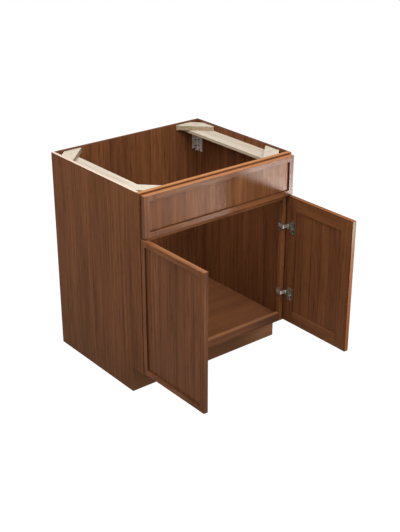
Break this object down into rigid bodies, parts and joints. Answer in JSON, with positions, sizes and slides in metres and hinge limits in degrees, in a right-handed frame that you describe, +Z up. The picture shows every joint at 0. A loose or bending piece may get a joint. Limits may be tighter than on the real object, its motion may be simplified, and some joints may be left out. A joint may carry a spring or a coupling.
{
  "type": "sink base cabinet",
  "caption": "Two-door kitchen sink base cabinet with a fixed false front, face frame, toe kick, open top with corner braces and cup hinges.",
  "frame": {"origin": "floor level on the wall plane, midway across the width", "axes": "+X to the cabinet's right seen from the front, +Y towards the wall, +Z up"},
  "size_m": [0.7628, 0.9875, 0.876],
  "materials": {
    "case_wood": "satin",
    "frame_wood": "satin",
    "front_wood": "satin",
    "pale_wood": "matte",
    "stretcher_ply": "matte",
    "hinge_steel": "satin",
    "bracket_steel": "satin",
    "screw_steel": "satin",
    "clear_plastic": "matte"
  },
  "bodies": {
    "cabinet": {"back_panel": "case_wood", "corner_brace_back_left": "pale_wood", "corner_brace_back_right": "pale_wood", "corner_brace_front_left": "pale_wood", "corner_brace_front_right": "pale_wood", "corner_brace_screws": "screw_steel", "face_frame_bottom_rail": "frame_wood", "face_frame_dowels": "pale_wood", "face_frame_mid_rail": "frame_wood", "face_frame_stile_left": "frame_wood", "face_frame_stile_right": "frame_wood", "face_frame_top_rail": "frame_wood", "false_front_bottom_rail": "front_wood", "false_front_panel": "front_wood", "false_front_screws": "screw_steel", "false_front_spacers": "clear_plastic", "false_front_stile_left": "front_wood", "false_front_stile_right": "front_wood", "false_front_top_rail": "front_wood", "floor_cleat_left": "pale_wood", "floor_cleat_right": "pale_wood", "floor_panel": "case_wood", "hinge_clamp_screws": "screw_steel", "hinge_pins": "screw_steel", "hinge_plate_screws": "screw_steel", "left_hinge_arm_lower": "hinge_steel", "left_hinge_arm_upper": "hinge_steel", "left_hinge_plate_lower": "hinge_steel", "left_hinge_plate_upper": "hinge_steel", "rear_bracket_screws": "screw_steel", "rear_corner_bracket_left": "bracket_steel", "rear_corner_bracket_right": "bracket_steel", "right_hinge_arm_lower": "hinge_steel", "right_hinge_arm_upper": "hinge_steel", "right_hinge_plate_lower": "hinge_steel", "right_hinge_plate_upper": "hinge_steel", "side_panel_left": "case_wood", "side_panel_right": "case_wood", "side_stretcher_left": "stretcher_ply", "side_stretcher_right": "stretcher_ply", "toe_kick_board": "case_wood"},
    "left_door": {"left_door_bottom_rail": "front_wood", "left_door_bumpers": "clear_plastic", "left_door_free_stile": "front_wood", "left_door_hinge_stile": "front_wood", "left_door_panel": "front_wood", "left_door_top_rail": "front_wood", "left_hinge_cup_lower": "hinge_steel", "left_hinge_cup_screws": "screw_steel", "left_hinge_cup_upper": "hinge_steel"},
    "right_door": {"right_door_bottom_rail": "front_wood", "right_door_bumpers": "clear_plastic", "right_door_free_stile": "front_wood", "right_door_hinge_stile": "front_wood", "right_door_panel": "front_wood", "right_door_top_rail": "front_wood", "right_hinge_cup_lower": "hinge_steel", "right_hinge_cup_screws": "screw_steel", "right_hinge_cup_upper": "hinge_steel"}
  },
  "joints": [
    {"name": "left_door_swing", "type": "hinge", "parent": "cabinet", "child": "left_door", "pos_m": [-0.3684, -0.6206, 0.4075], "axis": [0, 0, 1], "range_deg": [-10, 90]},
    {"name": "right_door_swing", "type": "hinge", "parent": "cabinet", "child": "right_door", "pos_m": [0.3684, -0.6206, 0.4075], "axis": [0, 0, 1], "range_deg": [-90, 10]}
  ]
}
